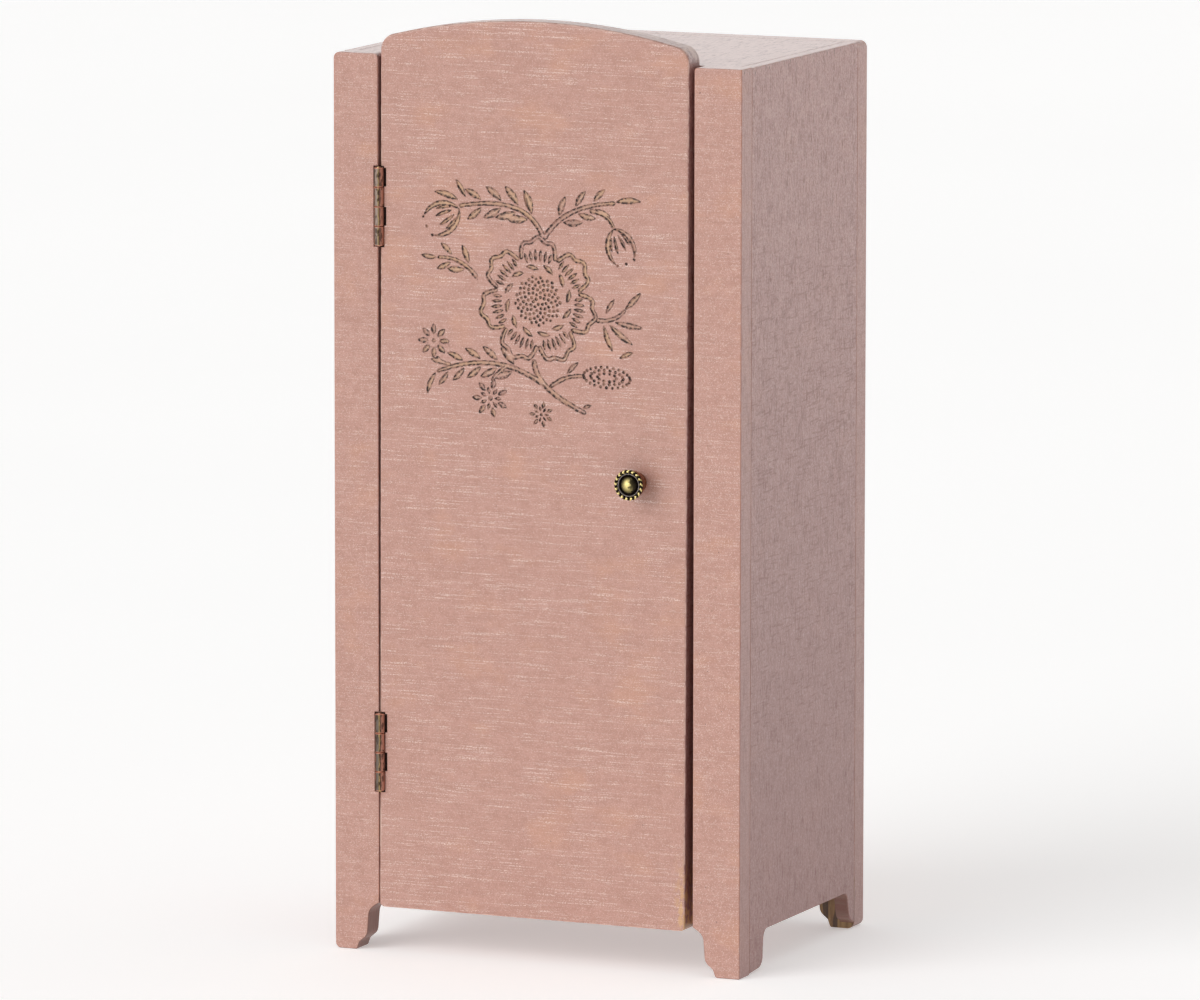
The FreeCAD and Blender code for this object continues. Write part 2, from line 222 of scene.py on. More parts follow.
def paint(name, seed, rough=1.0, feet=False, raw_back=False, carved=False):
    """Brushed pink paint: broken pale lines across fronts, dark grain up the sides, the sides mauve and
    darker by their own tone and by painted shade, a painted sheen that makes the top paler, and painted shade
    in the gaps.

    rough is how strongly the side grain and the sides' painted shade show. feet turns the ogee cuts that face
    in or down under the case brown, partly for thinner paint there and partly as painted shade, raw_back
    leaves the front of the back panel's feet as stained wood, and carved is for the door with its spray.
    """
    g = Graph(name)
    nx, ny, nz = g.normal
    # which way the surface faces, and coordinates with the brush's direction first
    side = g.step(g.math("ABSOLUTE", nx), 0.6, 0.8)
    level = g.step(g.math("ABSOLUTE", nz), 0.6, 0.8)
    front = g.math("SUBTRACT", 1.0, g.most(side, level))
    upright = g.choose(side, g.join(g.x, g.z, g.y), g.join(g.z, g.y, g.x))
    along = g.choose(level, upright, g.join(g.y, g.x, g.z))

    # every pattern the paint is made of
    patches = g.noise(g.place, (0.07, 0.07, 0.11), 3.0, seed)
    mottle = g.noise(g.place, (0.4, 0.5, 0.5), 4.0, seed + 3.1)
    speckle = g.noise(g.place, (3.2, 3.2, 3.2), 2.0, seed + 5.3)
    sparkle = g.noise(g.place, (4.4, 4.4, 4.4), 0.0, seed + 9.1)
    streaks = g.noise(along, (0.09, 2.4, 0.8), 4.0, seed + 7.7)
    lines = g.noise(along, (0.10, 3.9, 1.0), 1.0, seed + 13.0)
    beads = g.noise(along, (2.9, 3.9, 1.3), 2.0, seed + 19.0)
    spells = g.noise(along, (0.22, 0.30, 0.3), 2.0, seed + 23.0)
    specks = g.noise(g.place, (1.5, 1.5, 1.5), 1.0, seed + 29.0)
    grain = g.noise(along, (0.30, 3.0, 1.0), 3.0, seed + 31.0)
    threads = g.noise(along, (0.14, 1.9, 0.5), 3.0, seed + 41.0)
    clouds = g.noise(g.place, (0.30, 0.30, 0.24), 4.0, seed + 37.0)
    scuffs = g.noise(g.place, (1.0, 0.20, 1.9), 2.0, seed + 71.0)
    grit = g.noise(g.place, (1.0, 1.9, 1.7), 3.0, seed + 73.0)

    # ground colour
    tone = g.math("ADD", g.times(mottle, 0.30), g.math("ADD", g.times(streaks, 0.20), g.times(speckle, 0.50)))
    base = g.blend(g.step(tone, 0.36, 0.64), PINK_DEEP, PINK_LIGHT)
    base = g.blend(0.30, base, PINK)
    base = g.blend(g.times(g.step(patches, 0.52, 0.72), 0.34), base, ORANGE_TINT)
    # painted shade, with the sides' own mauve tone: faces across X turned greyer and darker
    base = g.blend(g.times(side, 0.30 + 0.35 * rough), base, SIDE_TONE_AND_SHADE)
    if not carved:
        # painted sheen: faces that look up are made paler
        base = g.blend(g.times(g.step(nz, 0.6, 0.8), 0.75), base, TOP_SHEEN_PALE)

    # brush lines and specks
    limit = g.math("SUBTRACT", 0.732, g.times(spells, 0.25))
    line = g.math("DIVIDE", g.math("SUBTRACT", lines, limit), 0.05, clamp=True)
    dashes = g.times(line, g.step(beads, 0.46, 0.60), g.math("ADD", g.times(front, 0.9), 0.1))
    shade = g.times(g.step(g.noise(along, (0.10, 3.4, 1.0), 1.0, seed + 43.0), 0.60, 0.70), front)
    base = g.blend(g.times(shade, 0.16), base, DASH_SHADE)
    base = g.blend(g.times(dashes, 0.80 if carved else 0.42), base, DASH_PALE)
    base = g.blend(g.times(g.step(sparkle, 0.66, 0.74), 0.45), base, DASH_PALE)
    base = g.blend(g.times(g.step(specks, 0.76, 0.82), 0.7), base, SPECK_DARK)

    # dark grain on the sides and the top, and painted shade low on the sides
    worked = g.math("ADD", g.times(side, rough), g.times(level, 0.75))
    patchy = g.math("ADD", 0.50, g.times(g.step(clouds, 0.40, 0.62), 0.60))
    base = g.blend(g.times(g.step(grain, 0.50, 0.66), worked, patchy, 0.78), base, GRAIN_BROWN)
    base = g.blend(g.times(g.step(threads, 0.50, 0.70), worked, 0.24), base, GRAIN_BROWN)
    midway = g.times(g.step(g.z, 30.0, 60.0), g.step(g.z, CASE_TOP - 20, CASE_TOP - 60))
    base = g.blend(g.times(g.step(scuffs, 0.57, 0.66), side, midway, 0.45 * rough), base, GRAIN_BROWN)
    base = g.blend(g.times(g.step(grit, 0.54, 0.66), side, 0.34 * rough), base, GRAIN_BROWN)
    base = g.blend(g.times(g.step(grit, 0.46, 0.36), side, 0.22 * rough), base, DASH_PALE)
    base = g.blend(g.times(g.step(clouds, 0.50, 0.72), side, 0.14 * rough), base, GRAIN_BROWN)
    # painted shade: the sides darker towards the bottom
    base = g.blend(g.times(side, g.step(g.z, CASE_TOP, 0.0), 0.24 + 0.24 * rough), base, SIDE_LOW_SHADE)
    nick = g.step(g.noise(g.place, (2.2, 1.6, 0.5), 2.0, seed + 45.0), 0.60, 0.68)
    near_top = g.step(g.z, CASE_TOP - 2.4, CASE_TOP - 0.9)
    base = g.blend(g.times(nick, near_top, side, 0.8), base, SPECK_DARK)

    # worn edges, and painted shade darkening the gaps and grooves
    flatness = g.most(*(g.math("ABSOLUTE", part) for part in g.normal))
    arris = g.step(flatness, 0.96, 0.80)
    worn = g.times(arris, g.step(g.noise(g.place, (0.5, 0.5, 0.4), 4.0, seed + 47.0), 0.38, 0.60))
    base = g.blend(g.times(worn, 0.80 if carved else 0.62), base, EDGE_PALE if carved else EDGE_TAN)
    # painted shade: paint darkened where ambient occlusion finds a narrow gap or groove
    base = g.blend(g.times(g.crevice(1.4, 0.30, 0.08), 0.42 if carved else 0.75), base, GAP_SHADE)

    roughness = g.math("ADD", 0.40, g.times(streaks, 0.16))
    height = g.math("ADD", g.times(streaks, 0.25), g.times(dashes, 0.40))
    height = g.math("ADD", height, g.times(speckle, 0.35))
    height = g.math("SUBTRACT", height, g.times(g.step(grain, 0.50, 0.72), worked, 0.5))

    # bare wood at the door's lower corner, and painted shade in its hinge pockets
    if carved:
        chip = g.noise(g.place, (0.9, 0.9, 0.45), 4.0, seed + 67.0)
        corner = g.times(g.step(g.x, DOOR_RIGHT - 4.0, DOOR_RIGHT - 1.0), g.step(g.z, 32.0, 12.0))
        base = g.blend(g.times(corner, g.step(chip, 0.46, 0.56), 0.75), base, RAW_YELLOW)
        beside = [g.times(g.step(g.z, low - 0.5, low), g.step(g.z, high + 0.5, high))
                  for low, high in HINGE_SPANS]
        within = g.times(g.step(g.y, FRONT + 0.2, FRONT + 0.7),
                         g.step(g.y, DOOR_BACK - 0.1, DOOR_BACK - 0.4))
        pocket = g.times(g.most(*beside), within, g.step(g.x, DOOR_LEFT + 4.0, DOOR_LEFT + 3.4))
        # painted shade: the hinge pockets darkened nearly black
        base = g.blend(g.times(pocket, 0.93), base, BURN_AND_SHADE_DARK)
    if feet:
        below = g.step(g.z, FOOT_CUT_TOP, FOOT_CUT_TOP - 0.8)
        inner_x = g.math("MULTIPLY", g.math("MULTIPLY", nx, g.x), -1 / 40)
        inner_y = g.math("MULTIPLY", g.math("MULTIPLY", ny, g.math("SUBTRACT", g.y, MIDDLE_Y)), -1 / 32)
        facing = g.most(g.step(inner_x, 0.35, 0.6), g.step(inner_y, 0.35, 0.6), g.step(nz, -0.35, -0.6))
        # painted shade with thinner paint: ogee cuts and undersides under the case that face in or down,
        # turned brown
        bare = g.times(below, facing)
        brown = g.blend(g.times(g.step(threads, 0.40, 0.66), 0.35), OGEE_BROWN, GRAIN_BROWN)
        if raw_back:
            rings = g.noise(g.place, (0.8, 0.8, 0.12), 4.0, seed)
            drips = g.noise(g.place, (0.62, 0.62, 0.09), 1.0, seed + 53.0)
            wood = g.blend(g.step(rings, 0.35, 0.65), WOOD_DARK, WOOD_LIGHT)
            wood = g.blend(g.times(g.step(drips, 0.55, 0.62), 0.85), wood, DRIP_DARK)
            brown = g.blend(g.step(ny, -0.6, -0.9), brown, wood)
        base = g.blend(g.times(bare, 0.92), base, brown)
        roughness = g.math("ADD", roughness, g.times(bare, 0.25))
    if carved:
        burn = g.add("ShaderNodeAttribute", 2, {}, attribute_name="burn")
        carved_in = g.add("ShaderNodeAttribute", 2, {}, attribute_name="carved")
        flecks = g.noise(g.place, (1.25, 1.25, 1.25), 1.0, seed + 59.0)
        base = g.blend(g.times(carved_in, g.step(patches, 0.30, 0.60), 0.75), base, GROOVE_PALE)
        base = g.blend(g.times(burn, 0.62), base, GROOVE_BROWN)
        base = g.blend(g.times(burn, g.step(flecks, 0.46, 0.55)), base, BURN_AND_SHADE_DARK)
        roughness = g.math("ADD", roughness, g.times(burn, 0.2))
    return g.finish(base, roughness, g.bump(height, 0.06, 0.55), IOR=1.48, Coat_Weight=COAT,
                    Coat_Roughness=0.2)


def rail_wood(name):
    """Pale planed dowel with grain along X and darker pores."""
    g = Graph(name)
    rings = g.noise(g.place, (0.06, 1.1, 1.1), 4.0, 5.0)
    pores = g.noise(g.place, (0.5, 5.0, 5.0), 2.0, 9.0)
    base = g.blend(g.step(rings, 0.35, 0.65), RAIL_DARK, RAIL_LIGHT)
    base = g.blend(g.times(g.step(pores, 0.58, 0.72), 0.4), base, WOOD_DARK)
    height = g.math("ADD", g.times(rings, 0.4), g.times(pores, 0.4))
    return g.finish(base, g.math("ADD", 0.5, g.times(pores, 0.2)), g.bump(height, 0.05, 0.5), IOR=1.45)


def antique_brass(name, bright, dark, shown, cast=False, reflection_band=None):
    """Brass with dark patina in patches and hollows; shown is how much bright metal is left.

    A cast piece follows its polish_and_highlight attribute: worn bright high points, painted highlights on
    the dome and the rope, and painted shade over the dome's right side. A rolled barrel gets painted
    reflections and highlights, bands of colour set by which way its surface faces with reflection_band in the
    middle, and brown stains.
    """
    g = Graph(name)
    nx, ny, nz = g.normal
    clouds = g.noise(g.place, (0.8, 0.8, 0.35), 4.0, 2.0)
    pits = g.noise(g.place, (3.2, 3.2, 3.2), 3.0, 6.0)
    scratches = g.noise(g.place, (6.0, 6.0, 0.5), 2.0, 11.0)
    wear = g.math("ADD", g.times(clouds, 0.7), g.times(pits, 0.3))
    left = g.step(wear, 0.66 - shown * 0.3, 0.80 - shown * 0.3)
    if cast:
        # the knob's bright metal: worn high points, and painted highlights on the dome and the rope
        polish_and_highlight = g.add("ShaderNodeAttribute", 2, {}, attribute_name="polish_and_highlight")
        blots = g.noise(g.place, (1.5, 1.5, 1.5), 4.0, 15.0)
        across = g.math("SUBTRACT", g.x, KNOB_AXIS.x)
        up = g.math("SUBTRACT", g.z, KNOB_AXIS.z)
        reach = g.math("SQRT", g.math("ADD", g.times(across, across), g.times(up, up)))
        blotted = g.math("ADD", across, g.times(g.math("SUBTRACT", blots, 0.5), 3.6))
        # painted shade: the dome's right part left as dark patina, with a mottled edge
        clear_of_dome_shade = g.most(g.step(blotted, 0.95, 0.25), g.step(reach, DOME_RADIUS, DOME_RADIUS + 0.3))
        left = g.times(g.math("ADD", g.times(clear_of_dome_shade, 0.86), 0.14), polish_and_highlight)
        # painted highlight: bright metal kept at the dome's centre, fading out towards its rim
        shine = g.most(g.step(reach, 1.4, 0.3), g.step(reach, DOME_RADIUS, DOME_RADIUS + 0.3))
        left = g.times(left, g.math("ADD", g.times(shine, 0.45), 0.55))
    base = g.blend(left, dark, bright)
    if cast:
        violet = g.add("ShaderNodeAttribute", 2, {}, attribute_name="tarnish")
        base = g.blend(violet, base, PATINA_VIOLET)
        drum = g.step(g.y, RIM_Y, RIM_Y + 0.3)
        base = g.blend(g.times(drum, 0.9), base, COPPER_DEEP)
        base = g.blend(g.times(drum, g.step(blots, 0.50, 0.62), 0.5), base, COPPER)
    if reflection_band:
        stains = g.noise(g.place, (1.3, 1.3, 0.55), 4.0, 21.0)
        # painted reflections and highlights: the barrel's colours are laid by which way its surface faces
        turn = g.math("ADD", nx, g.times(g.math("SUBTRACT", stains, 0.5), 0.9))
        # painted highlight: a pale stripe down the front of each barrel, with a gold line beside it
        base = g.blend(g.times(g.band(turn, -0.15, 0.55), 0.80), base, reflection_band)
        base = g.blend(g.times(g.band(turn, 0.26, 0.16), 0.7), base, BRASS_GOLD)
        # painted reflection: the door's pink on the barrel's right side
        base = g.blend(g.times(g.step(turn, 0.40, 0.75), 0.7), base, COPPER_ROSE)
        # painted reflection: copper on the barrel's left edge
        base = g.blend(g.times(g.step(turn, -0.60, -0.80), 0.7), base, COPPER)
        base = g.blend(g.times(g.step(stains, 0.53, 0.60), 0.75), base, BRASS_BROWN)
        # painted highlight: pale copper on the knuckles' ends
        rim = g.step(g.math("ABSOLUTE", nz), 0.2, 0.6)
        base = g.blend(g.times(rim, 0.9), base, COPPER_PALE)
    base = g.blend(g.times(g.step(pits, 0.60, 0.72), 0.30), base, PATINA)
    roughness = g.math("SUBTRACT", 0.46, g.times(left, 0.14))
    roughness = g.math("ADD", roughness, g.times(scratches, 0.10))
    height = g.math("ADD", g.times(pits, 0.5), g.times(scratches, 0.2))
    return g.finish(base, roughness, g.bump(height, 0.04, 0.45), Metallic=0.75 if reflection_band else 1.0)


def plated(name, bright, dark):
    """Plated or bare steel with fine turning marks and dull spots."""
    g = Graph(name)
    marks = g.noise(g.place, (5.0, 0.8, 5.0), 3.0, 4.0)
    spots = g.noise(g.place, (0.9, 0.9, 0.9), 3.0, 8.0)
    base = g.blend(g.step(spots, 0.38, 0.62), dark, bright)
    roughness = g.math("ADD", 0.24, g.times(marks, 0.22))
    return g.finish(base, roughness, g.bump(marks, 0.03, 0.35), Metallic=1.0)


def floor_paint(name):
    """Plain matt white with a faint mottle."""
    g = Graph(name)
    cloud = g.noise(g.place, (0.004, 0.004, 0.004), 2.0, 1.0)
    base = g.blend(cloud, FLOOR_SHADE, FLOOR_WHITE)
    return g.finish(base, g.math("ADD", 0.85, g.times(cloud, 0.1)), g.bump(cloud, 0.1, 0.05), IOR=1.3,
                    Emission_Color=(1, 1, 1, 1), Emission_Strength=FLOOR_GLOW)


# ---- the carved spray ----
GROOVE_DEPTH = 0.34
GUARD = -0.16               # flat ring outside a groove that keeps its shading off the face
WALL_TOP = 0.05
WALL_FOOT = 0.20
RING_OFFSETS = (GUARD, 0.0, WALL_TOP, WALL_FOOT)
POINT_SPACING = 0.42
SPRAY_CENTRE = (-1.0, 152.0)
LEAST_HALF_WIDTH = 0.07     # of a leaf at its tips
SCREW_HOLE = 0.8            # half width of the hole left behind the knob
GOLDEN_ANGLE = 180 * (3 - math.sqrt(5))


def turned(degrees, length=1.0):
    """A flat vector of this length at an angle from the door's X axis."""
    angle = math.radians(degrees)
    return Vector((math.cos(angle), math.sin(angle))) * length


def arc_path(start, heading, length, bend):
    """Evenly spaced points along an arc that leaves start and turns by bend degrees."""
    count = max(3, round(length / POINT_SPACING))
    points = [Vector(start)]
    for index in range(count):
        direction = heading + bend * (index + 0.5) / count
        points.append(points[-1] + turned(direction, length / count))
    return points


class Spray:
    """The strokes of the carving, each a line of points with a half width at every point."""

    def __init__(self):
        self.strokes = []

    def stroke(self, points, half_widths):
        self.strokes.append(([Vector(point) for point in points], list(half_widths)))

    def leaf(self, start, heading, length, width, bend=0.0):
        """A stroke that swells in the middle and comes to a point at both ends."""
        points = arc_path(start, heading, length, bend)
        last = len(points) - 1
        swells = [math.sin(math.pi * (0.04 + 0.92 * index / last)) ** 0.7 for index in range(last + 1)]
        self.stroke(points, [max(LEAST_HALF_WIDTH, width / 2 * swell) for swell in swells])

    def line(self, points, start_width, end_width):
        """A stroke whose width changes evenly from one end to the other."""
        last = len(points) - 1
        self.stroke(points, [(start_width + (end_width - start_width) * index / last) / 2
                             for index in range(last + 1)])

    def dot(self, centre, radius):
        """A round punch mark."""
        self.stroke([centre], [radius])

    def stem(self, start, pull, end, start_width=1.3, end_width=0.95):
        """A curved stem; returns a function that gives the point and heading along it."""
        start, pull, end = Vector(start), Vector(pull), Vector(end)

        def at(share):
            point = start * (1 - share) ** 2 + pull * 2 * share * (1 - share) + end * share ** 2
            slope = (pull - start) * (1 - share) + (end - pull) * share
            return point, math.degrees(math.atan2(slope.y, slope.x))

        count = round(((pull - start).length + (end - pull).length) / POINT_SPACING)
        self.line([at(index / count)[0] for index in range(count + 1)], start_width, end_width)
        return at

    def leaf_pairs(self, at, shares, length, spread=42.0, gap=1.0, sides=(-1, 1)):
        """Free leaves beside a stem, a little shorter towards its tip."""
        for share in shares:
            point, heading = at(share)
            for side in sides:
                start = point + turned(heading + side * 90, gap)
                size = length * (1.12 - 0.35 * share)
                self.leaf(start, heading + side * spread, size, size * 0.38, -side * 16)

    def blossom(self, centre, radius, petals):
        """A round flower: scalloped petals with veins, a ring of small leaves and a seeded heart."""
        centre = Vector(centre)
        half = 180 / petals
        for petal in range(petals):
            middle = 90 + petal * 360 / petals
            outline = []
            for index in range(49):
                across = -0.9 + 1.8 * index / 48
                swell = 1 - abs(across) ** 3.2
                ripple = 0.035 * math.cos(3.0 * math.pi * across) * swell
                reach = radius * (0.66 + 0.32 * swell + ripple)
                outline.append(centre + turned(middle + across * half, reach))
            self.line(outline, 1.05, 1.05)
            for index in range(6):
                across = -0.66 + 1.32 * index / 5
                start = centre + turned(middle + across * half, radius * 0.635)
                length = radius * (0.19 - 0.07 * abs(across))
                self.leaf(start, middle + across * half, length, 0.84)
        for index in range(petals + 5):
            angle = index * 360 / (petals + 5)
            self.leaf(centre + turned(angle, radius * 0.50), angle + 66, radius * 0.20, 1.2, 24)
        for index in range(1, 96):
            self.dot(centre + turned(index * GOLDEN_ANGLE, radius * 0.0405 * math.sqrt(index)), 0.37)

    def daisy(self, centre, reach, petals):
        """A dot with one ring of petals."""
        centre = Vector(centre)
        self.dot(centre, 0.5)
        for petal in range(petals):
            angle = petal * 360 / petals
            self.leaf(centre + turned(angle, reach * 0.42), angle, reach * 0.58, reach * 0.36)

    def rosette(self, centre, radius):
        """A double daisy: a dot, a tight ring of short petals and a wider ring between them."""
        centre = Vector(centre)
        self.dot(centre, radius * 0.13)
        for index in range(7):
            angle = index * 360 / 7
            self.leaf(centre + turned(angle, radius * 0.27), angle, radius * 0.33, radius * 0.20)
            between = angle + 180 / 7
            self.leaf(centre + turned(between, radius * 0.52), between, radius * 0.48, radius * 0.30)

    def seed_pod(self, centre, heading, length, width):
        """A leaf made of rows of dots round an open middle."""
        centre = Vector(centre)
        for share, count in ((1.0, 24), (0.70, 18), (0.40, 10)):
            for index in range(count):
                angle = 2 * math.pi * index / count
                reach = Vector((math.cos(angle) * length / 2, math.sin(angle) * width / 2)) * share
                self.dot(centre + Matrix.Rotation(math.radians(heading), 2) @ reach, 0.36)

    def bud(self, base, heading, size):
        """A cup of two curved petals with veins and three stamens."""
        base = Vector(base)
        for side in (-1, 1):
            self.leaf(base, heading + side * 66, size * 1.32, size * 0.17, -side * 96)
            for turn, share, length in ((17, 0.26, 0.56), (40, 0.30, 0.46)):
                start = base + turned(heading + side * turn, size * share)
                self.leaf(start, heading + side * turn * 0.8, size * length, size * 0.115, -side * turn * 0.7)
        for side in (-1, 0, 1):
            self.dot(base + turned(heading + side * 15, size * 1.22), 0.34)


def flower_spray():
    """The whole design, about its own centre."""
    s = Spray()
    s.blossom((1.5, -0.5), 14.2, 7)

    upper_left = s.stem((2.6, 14.2), (-1.0, 23.4), (-17.5, 20.2))
    s.leaf_pairs(upper_left, (0.30, 0.48, 0.66, 0.84), 5.0)
    s.bud((-17.9, 19.4), 208, 7.4)
    s.leaf((-18.4, 21.6), 154, 5.6, 1.5, 20)
    s.leaf((-16.4, 22.4), 118, 4.2, 1.2, 8)

    upper_right = s.stem((3.2, 14.0), (8.0, 21.6), (20.0, 22.4))
    s.leaf_pairs(upper_right, (0.34, 0.58, 0.80), 4.3)
    s.leaf((20.8, 22.8), 12, 5.6, 1.5, -18)
    hanging = s.stem((14.6, 20.4), (18.6, 20.0), (19.8, 17.2), 1.05, 0.85)
    s.bud(hanging(1.0)[0] + Vector((0.2, -0.6)), 292, 6.8)

    left = s.stem((-13.8, 4.4), (-17.6, 8.8), (-22.8, 8.2), 1.1, 0.85)
    s.leaf_pairs(left, (0.30, 0.72), 3.9)
    s.leaf((-23.6, 8.2), 178, 3.6, 1.2, -10)

    right = s.stem((16.2, -4.2), (20.4, -4.4), (22.6, -1.8), 1.1, 0.85)
    s.leaf((23.0, -1.2), 40, 5.0, 1.4, 12)
    s.leaf((20.6, -4.4), -14, 6.4, 1.4, 10)
    s.leaf((19.2, -5.2), -44, 6.6, 1.4, 14)
    s.leaf((17.6, -5.4), -76, 5.8, 1.3, 14)
    s.leaf((18.2, -2.4), 62, 3.6, 1.1, -8)

    stalk = s.stem((0.6, -14.4), (1.0, -20.4), (12.8, -25.2), 1.35, 1.2)
    s.leaf((12.6, -24.2), 20, 2.0, 0.9, 0)
    lower_left = s.stem(stalk(0.42)[0] + Vector((-0.8, 0.3)), (-9.0, -12.2), (-23.0, -17.6))
    s.leaf_pairs(lower_left, (0.30, 0.46, 0.62, 0.78, 0.93), 4.4)
    s.leaf((-23.8, -18.2), 232, 5.0, 1.2, 30)
    s.daisy((-24.2, -10.8), 3.7, 8)
    s.stem((-20.4, -16.0), (-22.4, -15.8), (-23.2, -14.6), 1.0, 0.8)
    drooping = s.stem((-6.4, -15.8), (-9.0, -17.8), (-9.6, -18.8), 1.05, 0.85)
    s.rosette(drooping(1.0)[0] + Vector((-0.6, -4.4)), 4.3)

    lower_right = s.stem(stalk(0.52)[0] + Vector((0.8, 0.8)), (8.6, -16.9), (12.0, -17.0), 1.1, 0.9)
    s.seed_pod(lower_right(1.0)[0] + Vector((6.4, 0.0)), -3, 11.4, 4.6)
    s.leaf(lower_right(0.5)[0] + Vector((0.2, 1.0)), 52, 3.6, 1.2, -14)
    s.leaf((21.6, -12.4), 28, 3.4, 1.1, -10)
    s.rosette(stalk(0.7)[0] + Vector((-4.4, -4.0)), 2.9)

    centre = Vector(SPRAY_CENTRE)
    return [([point + centre for point in points], widths) for points, widths in s.strokes]


def ring(points, half_widths, offset):
    """The closed outline round a stroke at one distance inside its edge, or None where it is too thin."""
    kept = [(point, width - offset) for point, width in zip(points, half_widths) if width - offset > 0.02]
    if not kept:
        return None
    if len(kept) == 1:
        centre, radius = kept[0]
        return [centre + turned(angle, radius) for angle in range(0, 360, 45)]
    loop = []
    for pairs in (kept, kept[::-1]):
        for index, (point, radius) in enumerate(pairs):
            ahead = pairs[min(index + 1, len(pairs) - 1)][0]
            behind = pairs[max(index - 1, 0)][0]
            way = ahead - behind
            heading = math.degrees(math.atan2(way.y, way.x))
            loop.append(point + turned(heading - 90, radius))
        if radius > 0.12:
            loop += [point + turned(heading + turn, radius) for turn in (-45, 0, 45)]
    return loop


def inside_depths(places, strokes):
    """How far each place lies inside the nearest stroke's edge; below zero outside all of them."""
    starts, ends, start_widths, end_widths = [], [], [], []
    for points, widths in strokes:
        pairs = list(zip(points, points[1:])) or [(points[0], points[0])]
        width_pairs = list(zip(widths, widths[1:])) or [(widths[0], widths[0])]
        starts += [tuple(first) for first, second in pairs]
        ends += [tuple(second) for first, second in pairs]
        start_widths += [first for first, second in width_pairs]
        end_widths += [second for first, second in width_pairs]
    starts, ends = np.array(starts), np.array(ends)
    start_widths, end_widths = np.array(start_widths), np.array(end_widths)
    spans = ends - starts
    lengths = np.maximum((spans ** 2).sum(1), 1e-12)
    found = np.empty(len(places))
    for index, place in enumerate(places):
        share = np.clip(((place - starts) * spans).sum(1) / lengths, 0, 1)
        distance = np.hypot(*(starts + spans * share[:, None] - place).T)
        found[index] = (start_widths + (end_widths - start_widths) * share - distance).max()
    return found


def carve_door(name, source, strokes):
    """A copy of the door with the strokes cut into its front as real grooves."""
    panel = bmesh.new()
    panel.from_mesh(source.data)
    burn = panel.verts.layers.float.new("burn")
    carved = panel.verts.layers.float.new("carved")
    bmesh.ops.remove_doubles(panel, verts=panel.verts, dist=1e-7)
    face_y = min(vertex.co.y for vertex in panel.verts)
    front = [face for face in panel.faces
             if face.normal.y < -0.999 and abs(face.calc_center_median().y - face_y) < 1e-6]
    bmesh.ops.delete(panel, geom=front, context="FACES")
    rim = [edge for edge in panel.edges if edge.is_boundary]
    rim_vertices = list({vertex for edge in rim for vertex in edge.verts})
    rim_vertices.sort(key=lambda vertex: tuple(vertex.co))
    number = {vertex: index for index, vertex in enumerate(rim_vertices)}
    flat = [Vector((vertex.co.x / MM, vertex.co.z / MM)) for vertex in rim_vertices]
    lines = [(number[edge.verts[0]], number[edge.verts[1]]) for edge in rim]

    for points, widths in strokes:
        loops = [ring(points, widths, offset) for offset in RING_OFFSETS]
        for loop in filter(None, loops):
            first = len(flat)
            flat += loop
            lines += [(first + index, first + (index + 1) % len(loop)) for index in range(len(loop))]
        flat += points

    places, edges, triangles, origins = geometry.delaunay_2d_cdt(flat, lines, [], 1, 1e-5)[:4]
    inside = inside_depths(np.array([tuple(place) for place in places]), strokes)
    slope = (0.0, 0.0, GROOVE_DEPTH * 0.15, GROOVE_DEPTH)
    depths = np.interp(inside, RING_OFFSETS, slope)
    burns = np.interp(inside, (-0.08, 0.0, WALL_TOP, WALL_FOOT, 0.42), (0.0, 0.6, 1.0, 0.95, 0.0))

    made = []
    for place, origin, depth, char in zip(places, origins, depths, burns):
        kept = [index for index in origin if index < len(rim_vertices)]
        if kept:
            made.append(rim_vertices[kept[0]])
            continue
        vertex = panel.verts.new((place.x * MM, face_y + depth * MM, place.y * MM))
        vertex[burn] = char
        vertex[carved] = depth / GROOVE_DEPTH
        made.append(vertex)
    for corners in triangles:
        middle = sum((places[index] for index in corners), Vector((0, 0))) / 3
        if math.hypot(middle.x - KNOB_AXIS.x, middle.y - KNOB_AXIS.z) < SCREW_HOLE:
            continue
        panel.faces.new([made[index] for index in corners])
    bmesh.ops.recalc_face_normals(panel, faces=panel.faces)
    flat_front = {tuple(vertex.co) for vertex in panel.verts
                  if abs(vertex.co.y - face_y) < 1e-7 and vertex[burn] == 0}
    made = piece(name, panel, 42)
    keep_flat(made.data, flat_front)
    return made


def keep_flat(mesh, places):
    """Holds shading normals straight on level faces, and on a flat front where it meets rounded edges."""
    normals = [corner.vector.copy() for corner in mesh.corner_normals]
    for face in mesh.polygons:
        level = max(abs(part) for part in face.normal) > 0.9999
        for loop in face.loop_indices:
            corner = tuple(mesh.vertices[mesh.loops[loop].vertex_index].co)
            if face.normal.y < -0.7 and corner in places:
                normals[loop] = Vector((0, -1, 0))
            elif level:
                normals[loop] = face.normal.copy()
    mesh.normals_split_custom_set(normals)


def piece(name, shape, sharp_angle):
    """A new object from a finished bmesh, smooth but for edges sharper than an angle."""
    mesh = bpy.data.meshes.new(name)
    for face in shape.faces:
        face.smooth = True
    shape.to_mesh(mesh)
    shape.free()
    mesh.set_sharp_from_angle(angle=math.radians(sharp_angle))
    made = bpy.data.objects.new(name, mesh)
    bpy.context.scene.collection.objects.link(made)
    return made


